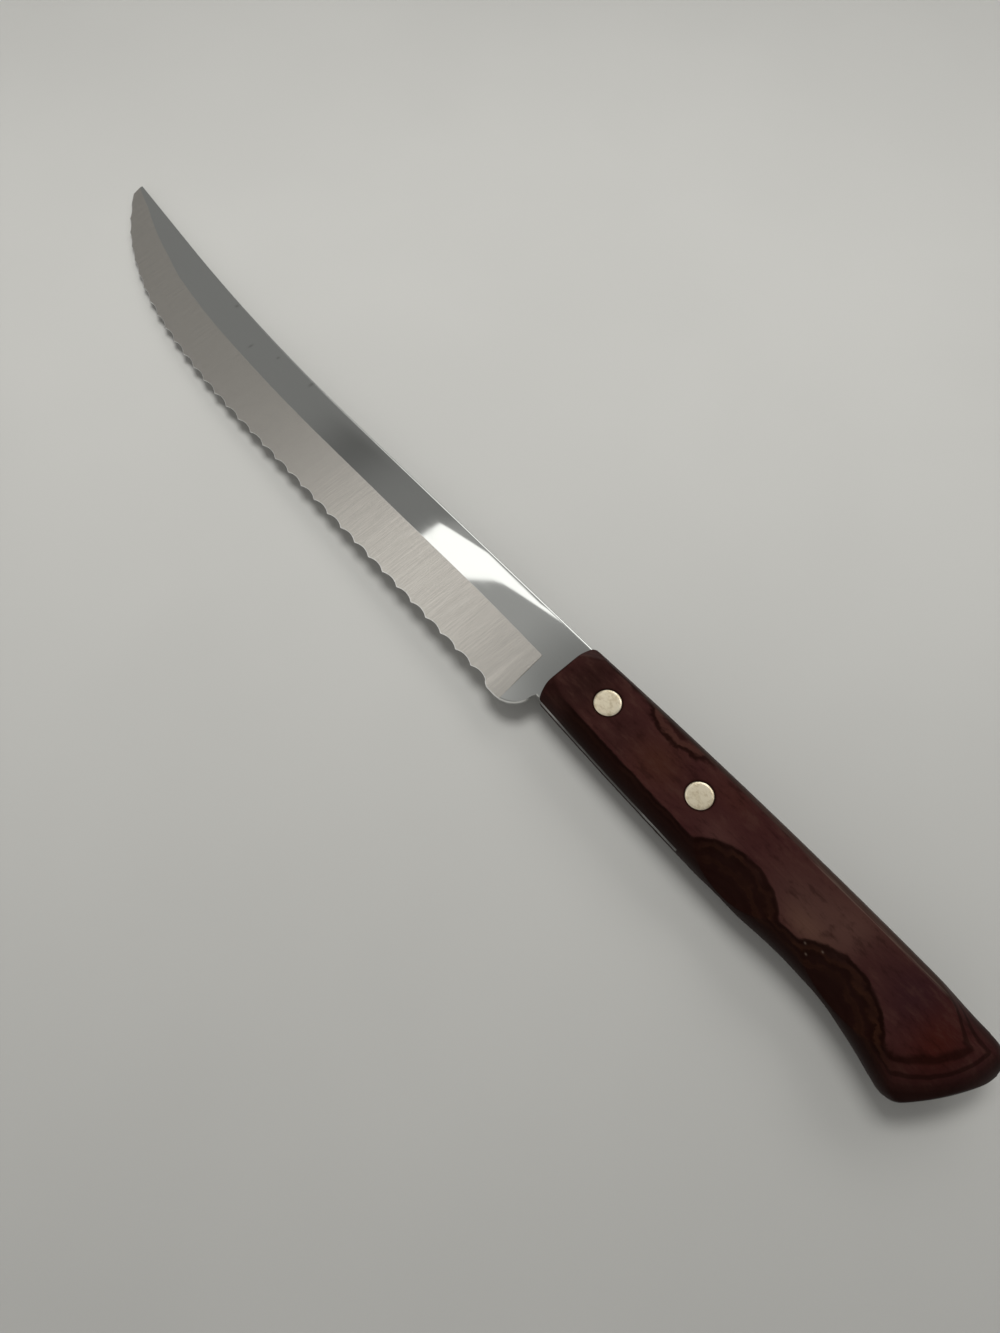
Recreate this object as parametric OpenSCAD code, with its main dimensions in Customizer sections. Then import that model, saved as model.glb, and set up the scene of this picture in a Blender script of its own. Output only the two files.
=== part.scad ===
// Serrated kitchen utility knife: a steel blade and half tang in one stamping,
// a one-piece laminated wood handle and two cutler's rivets in two halves each.
// +X runs to the tip, +Y to the cutting edge, and +Z up through the face that
// shows when the knife lies down. The origin is on the handle's resting face,
// midway between the rivets.

/* [Blade] */
// Length of the blade from the handle's front face to the tip
blade_length = 201; // [180:1:230]
// Thickness of the steel, which the tang keeps
steel_thickness = 1.6; // [1.2:0.1:2.5]
// Steel ground and polished off each cheek in front of the handle
polish_depth = 0.05; // [0.02:0.01:0.1]
// Thickness left at the cutting edge
edge_thickness = 0.3; // [0.2:0.1:0.8]
// Height of the tooth tips over the rivet line
edge_y = 15.3; // [14.5:0.1:18]
// Depth of the spine under the rivet line, at the handle's front
spine_y = 9.2; // [8:0.1:10]
// Width of the ground bevel along the straight of the edge
bevel_width = 13.3; // [8:0.1:16]
// Length of the unground steel in front of the handle
ricasso_length = 7; // [6:0.1:9]
// Bare steel between the handle's front face and the heel
heel_gap = 1.3; // [0.5:0.1:2]
// Radius of the round heel
heel_radius = 6.3; // [4:0.1:6.6]
// How far the smooth heel stands over the tooth tips
heel_rise = 0.8; // [0.2:0.1:1.5]
// Length of the half tang inside the handle
tang_length = 46.5; // [46:0.5:48]

/* [Teeth] */
// Distance from tooth to tooth
tooth_pitch = 5.6; // [4:0.1:8]
// Depth of each gullet
tooth_depth = 0.75; // [0.3:0.05:1.2]
// Radius of each gullet, seen from above
gullet_radius = 5.5; // [4:0.1:8]
// Lean of the gullets' grinding wheel over the blade
gullet_lean = 20; // [15:1:60]
// Gullets over which the teeth fade towards the tip
fading_teeth = 11; // [6:1:14]
// Depth of the last gullets, as a share of the full depth
least_tooth = 0.3; // [0.2:0.05:0.6]

/* [Handle] */
// Length of the handle
handle_length = 121; // [118:0.5:126]
// Thickness between the two flat faces
handle_thickness = 15; // [13:0.5:17]
// Distance from the rivets' middle to the handle's front face
handle_front = 27.5; // [25:0.5:30]
// Radius of the long sides' rounding, across the handle
side_radius = 11.6; // [10:0.1:16]
// Radius of the spine side's bow, along the handle
spine_bow = 1700; // [1200:50:2500]
// Radius of the belly side's bow, along the handle
belly_bow = 1340; // [1000:20:2000]
// Radius of the hollow waist before the flare
waist_radius = 85; // [70:1:100]
// Radius of the butt's outline
butt_radius = 28.7; // [28:0.1:30]
// How far in from its outline the butt's rounding reaches
butt_reach = 12.4; // [10:0.1:14]

/* [Finger scallops] */
// Radius of each scallop on the flat face
scallop_radius = 16; // [14:0.5:17]
// Distance from scallop to scallop
scallop_spacing = 28; // [26:0.5:30]
// Fall of the scallop's cone, sideways over down
scallop_slope = 1.34; // [1.25:0.01:1.6]

/* [Rivets] */
// Distance between the rivets
rivet_spacing = 28.7; // [26:0.1:30]
// Diameter of the flush heads
rivet_head_d = 6.4; // [5:0.1:8]
// Thickness of the heads
rivet_head_t = 1.4; // [1:0.1:2]
// Outer diameter of the tubular half
rivet_tube_d = 4; // [3.6:0.1:4.6]
// Diameter of the pin half
rivet_pin_d = 2.6; // [2:0.1:3]
// Play round the heads and the tube
rivet_play = 0.05; // [0.02:0.01:0.1]

/* [Hidden] */
$fn = 96;

steel = "#a9aaa8";
laminate = "#4a2420";
nickel_silver = "#cfc6a8";

mid_z = handle_thickness / 2;
tip_x = handle_front + blade_length;
butt_x = handle_front - handle_length;
heel_x = handle_front + heel_gap;
heel_y = edge_y + heel_rise;
plunge_x = handle_front + ricasso_length;
cheek_thickness = steel_thickness - 2 * polish_depth;
rivet_x = [rivet_spacing / 2, -rivet_spacing / 2];
past = 1;

// Points of an arc that starts at p on heading h0 and turns right to heading h1
function arc_from(p, h0, h1, r, n) =
    let (c = p + r * [sin(h0), -cos(h0)])
    [for (i = [1 : n]) let (h = h0 + (h1 - h0) * i / n) c + r * [-sin(h), cos(h)]];
function last(points) = points[len(points) - 1];

// The cutting edge is straight, then three arcs that tighten towards the tip
edge_headings = [0, -8, -24, -41];
edge_radii = [270, 115, 72];
edge_steps = 8;
belly_run = 88.5;
edge_start = [tip_x - belly_run, edge_y];
edge_arc_0 = arc_from(edge_start, edge_headings[0], edge_headings[1], edge_radii[0], edge_steps);
edge_arc_1 = arc_from(last(edge_arc_0), edge_headings[1], edge_headings[2], edge_radii[1], edge_steps);
edge_arc_2 = arc_from(last(edge_arc_1), edge_headings[2], edge_headings[3], edge_radii[2], edge_steps);
edge_end = last(edge_arc_2);
// The point is blunt: a short upright flat with its corner taken off
tip_flat = [0.3, 0.9];
tip_corner = edge_end + (tip_x - tip_flat[0] - edge_end[0]) * [1, tan(edge_headings[3])];
tip_upright = [tip_x, tip_corner[1] - tip_flat[1]];

// The spine rises a little, then one long arc sweeps it back up to the tip
spine_rise = 1.15;
spine_sweep = -5.15;
spine_radius = 727;
spine_steps = 10;
spine_run = 108.7;
spine_start = [handle_front, -spine_y];
spine_bend = spine_start + (tip_x - spine_run - handle_front) * [1, tan(spine_rise)];
spine_arc = arc_from(spine_bend, spine_rise, spine_sweep, spine_radius, spine_steps);
spine_tip = last(spine_arc) + (tip_x - last(spine_arc)[0]) * [1, tan(spine_sweep)];

heel_steps = 10;
heel_start = [heel_x, heel_y - heel_radius];
heel_arc = arc_from(heel_start, 90, 0, heel_radius, heel_steps);
tang_shoulder_y = 9.1;

// Gullets sit at equal steps along the edge
first_gullet_run = 7;
first_gullet_x = plunge_x + first_gullet_run;
heel_end_x = first_gullet_x - tooth_pitch / 2;
edge_turns = [for (i = [0 : 2]) edge_radii[i] * (edge_headings[i] - edge_headings[i + 1]) * PI / 180];
edge_straight = edge_start[0] - first_gullet_x;
edge_run = edge_straight + edge_turns[0] + edge_turns[1] + edge_turns[2];
edge_tail = norm(tip_corner - edge_end);
gullets = floor((edge_run + edge_tail) / tooth_pitch - 0.5);
function turn(r, h0, s) = h0 - s / r * 180 / PI;
function arc_end(p, h0, h1, r) = last(arc_from(p, h0, h1, r, 1));
// Point and heading of the edge after a run of s from the first gullet
function edge_at(s) =
    let (s0 = s - edge_straight, s1 = s0 - edge_turns[0], s2 = s1 - edge_turns[1], s3 = s2 - edge_turns[2])
    s0 <= 0 ? [[first_gullet_x + s, edge_y], 0] :
    s1 <= 0 ? let (h = turn(edge_radii[0], edge_headings[0], s0))
        [arc_end(edge_start, edge_headings[0], h, edge_radii[0]), h] :
    s2 <= 0 ? let (h = turn(edge_radii[1], edge_headings[1], s1))
        [arc_end(last(edge_arc_0), edge_headings[1], h, edge_radii[1]), h] :
    s3 <= 0 ? let (h = turn(edge_radii[2], edge_headings[2], s2))
        [arc_end(last(edge_arc_1), edge_headings[2], h, edge_radii[2]), h] :
    let (h = edge_headings[3])
        [edge_end + s3 * [cos(h), sin(h)], h];

gullet_wheel_w = 12;
// Share of the full depth that gullet i has
function tooth_share(i) = max(least_tooth, min(1, (gullets - i) / fading_teeth));

// The bevel narrows evenly with the edge's heading and would vanish at this one
bevel_vanish = 47;
bevel_facets = 12;
bevel_reach = 1.5;
plunge_lean = 5;

// Places on the handle's outline, on its middle plane
spine_bow_top = [-55, -11.15];
belly_bow_top = [-28, 10.3];
waist = [-51, 9.2];
butt_center = [butt_x + butt_radius, -8];
// The butt's section is a lens: its two arcs are centred this far past the middle
butt_lens = 6;
// Round corners of the butt: centre, radius, and where each starts from its centre
flare_corner = [butt_x + 13.6, 4.34];
flare_corner_r = 9.7;
flare_corner_start = [2.9, 7.7];
spine_corner = [butt_x + 6.2, -4.9];
spine_corner_r = 6.2;
spine_corner_start = [0, -0.8];
bow_depth = 60;
bow_angle = 12;
bow_facets = 3600;
waist_facets = 360;
first_scallop = [-32, 17.5];

// Heights of the rivet halves inside the handle
rivet_tube_end = 3;
rivet_bore_top = 12;
rivet_pin_top = 11;

module blade_outline() {
    polygon(concat(
        [spine_start, spine_bend], spine_arc,
        [spine_tip, tip_upright, tip_corner, edge_end],
        [for (i = [edge_steps - 2 : -1 : 0]) edge_arc_2[i]],
        [for (i = [edge_steps - 1 : -1 : 0]) edge_arc_1[i]],
        [for (i = [edge_steps - 1 : -1 : 0]) edge_arc_0[i]],
        [edge_start, [heel_end_x, edge_y], [heel_end_x, heel_y]],
        [for (i = [heel_steps - 1 : -1 : 0]) heel_arc[i]],
        [heel_start, [heel_x, tang_shoulder_y], [handle_front, tang_shoulder_y]]
    ));
}

// One flat of the ground bevel: everything over a plane that leans in from the edge
module bevel_flat(p, heading, width) {
    lean = atan((cheek_thickness - edge_thickness) / 2 / width);
    reach = width * bevel_reach;
    translate([p[0], p[1], edge_thickness / 2])
        rotate([0, 0, heading])
            rotate([-lean, 0, 0])
                translate([-tip_x, -reach, 0])
                    cube([2 * tip_x, reach + past, steel_thickness]);
}

// All the flats of one side's bevel, which starts at the leaning plunge line
module bevel_side() {
    intersection() {
        for (i = [0 : bevel_facets]) {
            at = edge_at(edge_straight + (edge_run - edge_straight) * i / bevel_facets);
            bevel_flat(at[0], at[1], bevel_width * (1 + at[1] / bevel_vanish));
        }
        translate([plunge_x, 0, -past])
            rotate([0, 0, plunge_lean])
                translate([0, -tip_x / 2, 0])
                    cube([tip_x, tip_x, steel_thickness + past]);
    }
}

// Grinding wheel for one gullet, leaning in under the blade from the lower face
module gullet(s, depth) {
    at = edge_at(s);
    wheel_r = gullet_radius / sin(gullet_lean);
    translate([at[0][0], at[0][1], edge_thickness / 2])
        rotate([0, 0, at[1]])
            translate([0, -depth, 0])
                rotate([gullet_lean - 90, 0, 0])
                    translate([0, wheel_r, -gullet_wheel_w / 2])
                        cylinder(h = gullet_wheel_w, r = wheel_r);
}

// Segment of a large flat ring with a round rim, centred on the ring's own axis
module bowed_side(bow) {
    rotate([0, 0, 90 - bow_angle / 2])
        rotate_extrude(angle = bow_angle, $fn = bow_facets)
            round_rim(bow, bow_depth, side_radius);
}

// Half section of a flat ring with a round rim
module round_rim(r, depth, rim_r) {
    translate([r - depth, 0])
        square([depth - rim_r, handle_thickness]);
    intersection() {
        translate([r - rim_r, mid_z])
            circle(r = rim_r);
        translate([r - depth, 0])
            square([depth, handle_thickness]);
    }
}

// Half section of the butt, a disc whose rim is a lens
module lens_rim() {
    square([butt_radius - butt_reach, handle_thickness]);
    intersection() {
        square([butt_radius, handle_thickness]);
        translate([butt_radius - butt_reach, mid_z + butt_lens])
            circle(r = norm([butt_reach, butt_lens]));
        translate([butt_radius - butt_reach, mid_z - butt_lens])
            circle(r = norm([butt_reach, butt_lens]));
    }
}

// Half section of a corner that is rounded over like the long sides
module corner_rim(r) {
    intersection() {
        square([r, handle_thickness]);
        translate([r - side_radius, mid_z])
            circle(r = side_radius);
    }
}

// Everything outside the hollow waist, which is rounded over like the long sides
module waist_cutter() {
    translate([waist[0], waist[1] + waist_radius, 0])
        rotate_extrude($fn = waist_facets)
            difference() {
                translate([0, -past])
                    square([waist_radius + side_radius, handle_thickness + 2 * past]);
                translate([waist_radius + side_radius, mid_z])
                    circle(r = side_radius);
            }
}

module handle_blank() {
    intersection() {
        translate([spine_bow_top[0], spine_bow_top[1] + spine_bow, 0])
            rotate([0, 0, 180])
                bowed_side(spine_bow);
        difference() {
            union() {
                translate([belly_bow_top[0], belly_bow_top[1] - belly_bow, 0])
                    bowed_side(belly_bow);
                translate([butt_x, -bow_depth / 2, 0])
                    cube([waist[0] - butt_x, bow_depth, handle_thickness]);
            }
            waist_cutter();
        }
        union() {
            translate([butt_center[0], butt_center[1], 0])
                rotate_extrude()
                    lens_rim();
            translate([butt_center[0], -bow_depth / 2, 0])
                cube([handle_front - butt_center[0], bow_depth, handle_thickness]);
        }
        round_corner(flare_corner, flare_corner_r, flare_corner_start, 1);
        round_corner(spine_corner, spine_corner_r, spine_corner_start, -1);
    }
}

// Everything but the waste outside a corner of the butt, on the belly side or,
// with side -1, on the spine side
module round_corner(center, r, start, side) {
    tall = handle_thickness + 2 * past;
    translate([center[0], center[1], 0]) {
        rotate_extrude()
            corner_rim(r);
        translate([start[0], -bow_depth, -past])
            cube([handle_length, 2 * bow_depth, tall]);
        mirror([0, side < 0 ? 1 : 0, 0])
            translate([-handle_length, -bow_depth, -past])
                cube([2 * handle_length, bow_depth + start[1], tall]);
    }
}

// The saw kerf in the handle's front, which the half tang fills
module tang_kerf() {
    translate([handle_front - tang_length, -bow_depth / 2, mid_z - steel_thickness / 2])
        cube([tang_length, bow_depth, steel_thickness]);
}

// Cone that cuts a scallop out of the upper face
module scallop(at) {
    depth = scallop_radius / scallop_slope;
    translate([at[0], at[1], handle_thickness - depth])
        cylinder(h = depth, r1 = 0, r2 = scallop_radius);
}

// A cut in the upper face and its mirror image in the lower face
module both_faces() {
    children();
    translate([0, 0, handle_thickness])
        mirror([0, 0, 1])
            children();
}

module blade() {
    color(steel)
        difference() {
            union() {
                translate([0, 0, mid_z])
                    difference() {
                        translate([0, 0, -cheek_thickness / 2])
                            linear_extrude(cheek_thickness)
                                blade_outline();
                        bevel_side();
                        mirror([0, 0, 1])
                            bevel_side();
                        for (i = [0 : gullets - 1])
                            gullet(i * tooth_pitch, tooth_depth * tooth_share(i));
                    }
                intersection() {
                    handle_blank();
                    tang_kerf();
                }
            }
            for (x = rivet_x)
                translate([x, 0, 0])
                    cylinder(h = handle_thickness, d = rivet_tube_d + 2 * rivet_play);
        }
}

module handle() {
    color(laminate)
        difference() {
            handle_blank();
            tang_kerf();
            both_faces()
                for (i = [0 : 1])
                    scallop(first_scallop - [i * scallop_spacing, 0]);
            for (x = rivet_x) {
                translate([x, 0, -past])
                    cylinder(h = handle_thickness + 2 * past, d = rivet_tube_d + 2 * rivet_play);
                both_faces()
                    translate([x, 0, handle_thickness - rivet_head_t])
                        cylinder(h = rivet_head_t + past, d = rivet_head_d + 2 * rivet_play);
            }
        }
}

// Half of a rivet with a tubular shank, from the upper face
module rivet_tube(x) {
    color(nickel_silver)
        translate([x, 0, 0])
            difference() {
                union() {
                    translate([0, 0, handle_thickness - rivet_head_t])
                        cylinder(h = rivet_head_t, d = rivet_head_d);
                    translate([0, 0, rivet_tube_end])
                        cylinder(h = handle_thickness - rivet_head_t - rivet_tube_end, d = rivet_tube_d);
                }
                translate([0, 0, rivet_tube_end - past])
                    cylinder(h = rivet_bore_top - rivet_tube_end + past, d = rivet_pin_d);
            }
}

// Half of a rivet with a pin, from the lower face
module rivet_pin(x) {
    color(nickel_silver)
        translate([x, 0, 0]) {
            cylinder(h = rivet_head_t, d = rivet_head_d);
            cylinder(h = rivet_pin_top, d = rivet_pin_d);
        }
}

module rivet_front_tube() {
    rivet_tube(rivet_x[0]);
}

module rivet_front_pin() {
    rivet_pin(rivet_x[0]);
}

module rivet_rear_tube() {
    rivet_tube(rivet_x[1]);
}

module rivet_rear_pin() {
    rivet_pin(rivet_x[1]);
}

blade();
handle();
rivet_front_tube();
rivet_front_pin();
rivet_rear_tube();
rivet_rear_pin();
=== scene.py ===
import math

import bmesh
import bpy
import numpy as np
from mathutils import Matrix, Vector


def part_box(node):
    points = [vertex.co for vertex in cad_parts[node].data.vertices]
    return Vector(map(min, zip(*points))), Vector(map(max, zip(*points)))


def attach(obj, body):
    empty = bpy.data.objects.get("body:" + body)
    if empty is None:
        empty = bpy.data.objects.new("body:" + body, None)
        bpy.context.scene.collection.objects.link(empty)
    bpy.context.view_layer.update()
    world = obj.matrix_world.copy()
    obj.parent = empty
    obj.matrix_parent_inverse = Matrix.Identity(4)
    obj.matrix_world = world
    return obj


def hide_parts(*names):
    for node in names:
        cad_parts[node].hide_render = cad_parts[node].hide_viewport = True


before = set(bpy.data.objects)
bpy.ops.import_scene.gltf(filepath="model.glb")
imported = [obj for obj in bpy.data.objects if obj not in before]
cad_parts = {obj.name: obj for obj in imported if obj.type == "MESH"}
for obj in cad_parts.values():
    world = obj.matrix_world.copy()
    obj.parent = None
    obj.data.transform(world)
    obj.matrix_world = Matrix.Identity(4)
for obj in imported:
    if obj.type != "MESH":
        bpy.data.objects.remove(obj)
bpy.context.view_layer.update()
mm = 0.001


# places that the solids give, in millimetres
def nodeBox(node):
    low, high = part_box(node)
    return low / mm, high / mm


handleLow, handleHigh = nodeBox("handle")
frontX, buttX = handleHigh.x, handleLow.x
faceZ = handleHigh.z
midZ = faceZ / 2
tipX = nodeBox("blade")[1].x
rivetX = [sum(corner.x for corner in nodeBox(node)) / 2 for node in ("rivet_front_tube", "rivet_rear_tube")]
print("frame: handle", round(buttX, 1), "to", round(frontX, 1), "tip", round(tipX, 1), "rivets", rivetX)


# a socket that takes part in Python expressions
class Wire:
    def __init__(self, net, socket):
        self.net = net
        self.socket = socket

    def math(self, operation, *others):
        return self.net.node("ShaderNodeMath", {"operation": operation}, [self, *others])

    def __add__(self, other):
        return self.math("ADD", other)

    def __radd__(self, other):
        return self.math("ADD", other)

    def __sub__(self, other):
        return self.math("SUBTRACT", other)

    def __rsub__(self, other):
        return self.net.node("ShaderNodeMath", {"operation": "SUBTRACT"}, [other, self])

    def __mul__(self, other):
        return self.math("MULTIPLY", other)

    def __rmul__(self, other):
        return self.math("MULTIPLY", other)

    def __truediv__(self, other):
        return self.math("DIVIDE", other)

    def __neg__(self):
        return self.math("MULTIPLY", -1.0)

    def __abs__(self):
        return self.math("ABSOLUTE")

    def rise(self, low, high):  # 0 below low, 1 above high, smooth between
        return self.net.node("ShaderNodeMapRange", {"interpolation_type": "SMOOTHSTEP"},
                             {"Value": self, "From Min": low, "From Max": high})

    def between(self, low, full, fading, gone):  # rises from low to full, then falls to nothing
        return self.rise(low, full) * (1 - self.rise(fading, gone))


# a node tree, with one method that adds any node
class Net:
    def __init__(self, tree):
        self.tree = tree
        tree.nodes.clear()

    def node(self, kind, settings, sockets, output=0):
        made = self.tree.nodes.new(kind)
        for name, value in settings.items():
            setattr(made, name, value)
        pairs = sockets.items() if isinstance(sockets, dict) else enumerate(sockets)
        for key, value in pairs:
            if isinstance(value, Wire):
                self.tree.links.new(value.socket, made.inputs[key])
            else:
                made.inputs[key].default_value = value
        return Wire(self, made.outputs[output]) if made.outputs else None

    def mix(self, factor, first, second):
        def full(colour):
            return colour if isinstance(colour, Wire) else (*colour, 1.0)
        return self.node("ShaderNodeMix", {"data_type": "RGBA"},
                         {0: factor, 6: full(first), 7: full(second)}, 2)

    def place(self):  # object coordinates in millimetres
        coords = self.node("ShaderNodeTexCoord", {}, {}, "Object")
        return self.node("ShaderNodeVectorMath", {"operation": "SCALE"}, {0: coords, "Scale": 1 / mm})

    def split(self, vector):
        parts = self.node("ShaderNodeSeparateXYZ", {}, [vector])
        return [Wire(self, socket) for socket in parts.socket.node.outputs]

    def stretch(self, vector, factors):
        return self.node("ShaderNodeVectorMath", {"operation": "MULTIPLY"}, [vector, factors])

    def noise(self, vector, factors, detail, roughness):
        return self.node("ShaderNodeTexNoise", {},
                         {"Vector": self.stretch(vector, factors), "Scale": 1.0, "Detail": detail,
                          "Roughness": roughness})

    def spot(self, x, y, centre, reach):  # 1 at the centre, 0 far from it
        across = (x - centre[0]) / reach[0]
        along = (y - centre[1]) / reach[1]
        return (-(across * across + along * along)).math("EXPONENT")

    def bump(self, depth, height):
        return self.node("ShaderNodeBump", {}, {"Strength": 0.15, "Distance": depth * mm, "Height": height})


def startMaterial(name):
    material = bpy.data.materials.new(name)
    material.use_nodes = True
    return material, Net(material.node_tree)


def endMaterial(net, sockets):
    surface = net.node("ShaderNodeBsdfPrincipled", {}, sockets)
    net.node("ShaderNodeOutputMaterial", {}, {"Surface": surface})


# mesh helpers
def addPiece(name, points, faces):
    mesh = bpy.data.meshes.new(name)
    mesh.from_pydata([tuple(c * mm for c in p) for p in points], [], faces)
    mesh.validate()
    shape = bmesh.new()
    shape.from_mesh(mesh)
    bmesh.ops.recalc_face_normals(shape, faces=shape.faces)
    shape.to_mesh(mesh)
    shape.free()
    piece = bpy.data.objects.new(name, mesh)
    bpy.context.scene.collection.objects.link(piece)
    return piece


def bakeModifiers(piece):
    graph = bpy.context.evaluated_depsgraph_get()
    baked = bpy.data.meshes.new_from_object(piece.evaluated_get(graph), preserve_all_data_layers=True,
                                            depsgraph=graph)
    rough = piece.data
    piece.modifiers.clear()
    piece.data = baked
    baked.name = piece.name
    bpy.data.meshes.remove(rough)


def cutOut(piece, cutters):
    for cutter in cutters:
        cut = piece.modifiers.new("cut", "BOOLEAN")
        cut.operation = "DIFFERENCE"
        cut.solver = "MANIFOLD"
        cut.object = cutter
    bakeModifiers(piece)
    for cutter in cutters:
        bpy.data.objects.remove(cutter)


def addBox(low, high):
    corners = [(x, y, z) for x in (low[0], high[0]) for y in (low[1], high[1]) for z in (low[2], high[2])]
    faces = [(0, 1, 3, 2), (4, 6, 7, 5), (0, 4, 5, 1), (2, 3, 7, 6), (0, 2, 6, 4), (1, 5, 7, 3)]
    return addPiece("cutBox", corners, faces)


# a closed turned shape round the upright axis at centre, from its half profile of radius and height
def turned(name, centre, profile, steps):
    points, rings, faces = [], [], []
    for radius, height in profile:
        count = steps if radius > 0 else 1
        rings.append([len(points) + i for i in range(count)])
        for i in range(count):
            turn = 2 * math.pi * i / steps
            points.append((centre[0] + radius * math.cos(turn), centre[1] + radius * math.sin(turn), height))
    for near, far in zip(rings, rings[1:]):
        for i in range(steps):
            ahead = i + 1
            loop = [near[i % len(near)], near[ahead % len(near)], far[ahead % len(far)], far[i % len(far)]]
            faces.append(tuple(dict.fromkeys(loop)))
    return addPiece(name, points, faces)


def smoothStep(values, low, high):
    share = np.clip((values - low) / (high - low), 0.0, 1.0)
    return share * share * (3 - 2 * share)


def smoothLeast(first, second, soft):
    gap = np.maximum(soft - np.abs(first - second), 0.0)
    return np.minimum(first, second) - gap * gap / (4 * soft)


def smoothLine(points, x):  # a curve through given points, without overshoot
    px, py = np.array(points, float).T
    rises = np.diff(py) / np.diff(px)
    before, after = rises[:-1], rises[1:]
    middle = np.where(before * after > 0, 2 * before * after / (before + after + 1e-12), 0.0)
    slopes = np.concatenate([[rises[0]], middle, [rises[-1]]])
    x = np.asarray(x, float)
    i = np.clip(np.searchsorted(px, x) - 1, 0, len(px) - 2)
    width = px[i + 1] - px[i]
    t = (x - px[i]) / width
    return ((1 + 2 * t) * (1 - t) ** 2 * py[i] + t * (1 - t) ** 2 * width * slopes[i]
            + t * t * (3 - 2 * t) * py[i + 1] + t * t * (t - 1) * width * slopes[i + 1])


# handle: one block of dyed laminate, slit for the tang
tangLength = 46.5
handleShape = {
    "spineTop": (-55.0, -11.15), "spineBow": 1700.0,
    "bellyTop": (-28.0, 10.3), "bellyBow": 1340.0,
    "waist": (-51.0, 9.2), "waistRadius": 85.0,
    "butt": (buttX + 28.61, -8.0), "buttRadius": 28.7,
    "buttTrim": (buttX + 56.26, -24.82), "buttTrimRadius": 60.0, "trimSoft": 0.4,  # takes down its bow
    "flare": (buttX + 13.51, 4.34), "flareRadius": 9.7, "flareStart": (2.9, 7.7),
    "corner": (buttX + 6.11, -4.9), "cornerRadius": 6.2, "cornerStart": (0.0, -0.8),
    "sideRadius": 11.6,                 # rounding across the long sides
    "buttReach": 12.4, "buttLens": 6.0,  # rounding over the butt, whose section is a lens
    "endReach": 14.0, "endRise": 7.62,  # what the sides' rounding becomes at the end
    "bellyTurn": (-87.0, -93.0), "spineTurn": (-72.0, -86.0),  # where it becomes that
    "facets": [(1, 0.96, 4.75, 0.352), (-1, 0.75, 2.5, 0.75)],  # front corners: side, slope, start, taper
    "facetSoft": 0.8,
    "easing": [(-45.0, 3.5), (frontX, 2.9)], "easingSlope": 0.58,  # the spine's eased edge: reach along x
    "scallops": [(-32.0, 17.5), (-60.0, 17.5)], "scallopRadius": 16.0, "scallopSlope": 1.34,
    "frontRound": 1.2, "outlineSoft": 0.8, "creaseSoft": 0.3, "softReach": 1.5,
    "kerfBack": frontX - tangLength, "kerf": 1.64,
    "bore": 4.1, "headBore": 6.5, "headDepth": 1.4, "boreSteps": 64,
    "buttRun": 24.0, "buttStations": 84, "runStations": 210, "noseStations": 7, "sharpAngle": 32.0,
}
farAway = 1e3
besideHandle = 40.0  # a y that is well outside the outline


def insideOutline(x, y):
    h = handleShape

    def away(centre):
        return np.hypot(x - centre[0], y - centre[1])

    spine = h["spineBow"] - away((h["spineTop"][0], h["spineTop"][1] + h["spineBow"]))
    bow = h["bellyBow"] - away((h["bellyTop"][0], h["bellyTop"][1] - h["bellyBow"]))
    waist = away((h["waist"][0], h["waist"][1] + h["waistRadius"])) - h["waistRadius"]
    belly = np.where(x > h["waist"][0], smoothLeast(bow, waist, h["outlineSoft"]), waist)
    butt = np.where(x < h["butt"][0], h["buttRadius"] - away(h["butt"]), farAway)
    inFlare = (x < h["flare"][0] + h["flareStart"][0]) & (y > h["flare"][1] + h["flareStart"][1])
    flare = np.where(inFlare, h["flareRadius"] - away(h["flare"]), farAway)
    inCorner = (x < h["corner"][0] + h["cornerStart"][0]) & (y < h["corner"][1] + h["cornerStart"][1])
    corner = np.where(inCorner, h["cornerRadius"] - away(h["corner"]), farAway)
    inside = smoothLeast(spine, belly, h["outlineSoft"])
    for other in (butt, flare, corner):
        inside = smoothLeast(inside, other, h["outlineSoft"])
    trim = np.where(x < h["butt"][0], h["buttTrimRadius"] - away(h["buttTrim"]), farAway)
    return smoothLeast(inside, trim, h["trimSoft"])


def outlineAt(x, inner, outer):  # the outline's y between a point inside and one outside, by halving
    low, high = np.full_like(x, inner), np.full_like(x, outer)
    for _ in range(50):
        middle = (low + high) / 2
        keep = insideOutline(x, middle) > 0
        low, high = np.where(keep, middle, low), np.where(keep, high, middle)
    return low


buttMiddleY = -5.5
handleBack = buttX + 0.03
buttRun, outlineStep = 22.0, 0.4  # the outline is traced more closely along the butt
turns = np.linspace(0.0, math.pi / 2, 70)
outlineX = np.concatenate([handleBack + buttRun * (1 - np.cos(turns)),
                           np.arange(handleBack + buttRun + outlineStep, frontX + 2, outlineStep)])
spineLine = outlineAt(outlineX, buttMiddleY, -besideHandle)
bellyLine = outlineAt(outlineX, buttMiddleY, besideHandle)
outlinePoints = np.concatenate([np.stack([outlineX, spineLine], 1)[::-1], np.stack([outlineX, bellyLine], 1)])
spineShare = smoothStep(-outlineX, -handleShape["spineTurn"][0], -handleShape["spineTurn"][1])
bellyShare = smoothStep(-outlineX, -handleShape["bellyTurn"][0], -handleShape["bellyTurn"][1])
outlineTurn = np.concatenate([spineShare[::-1], bellyShare])


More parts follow.
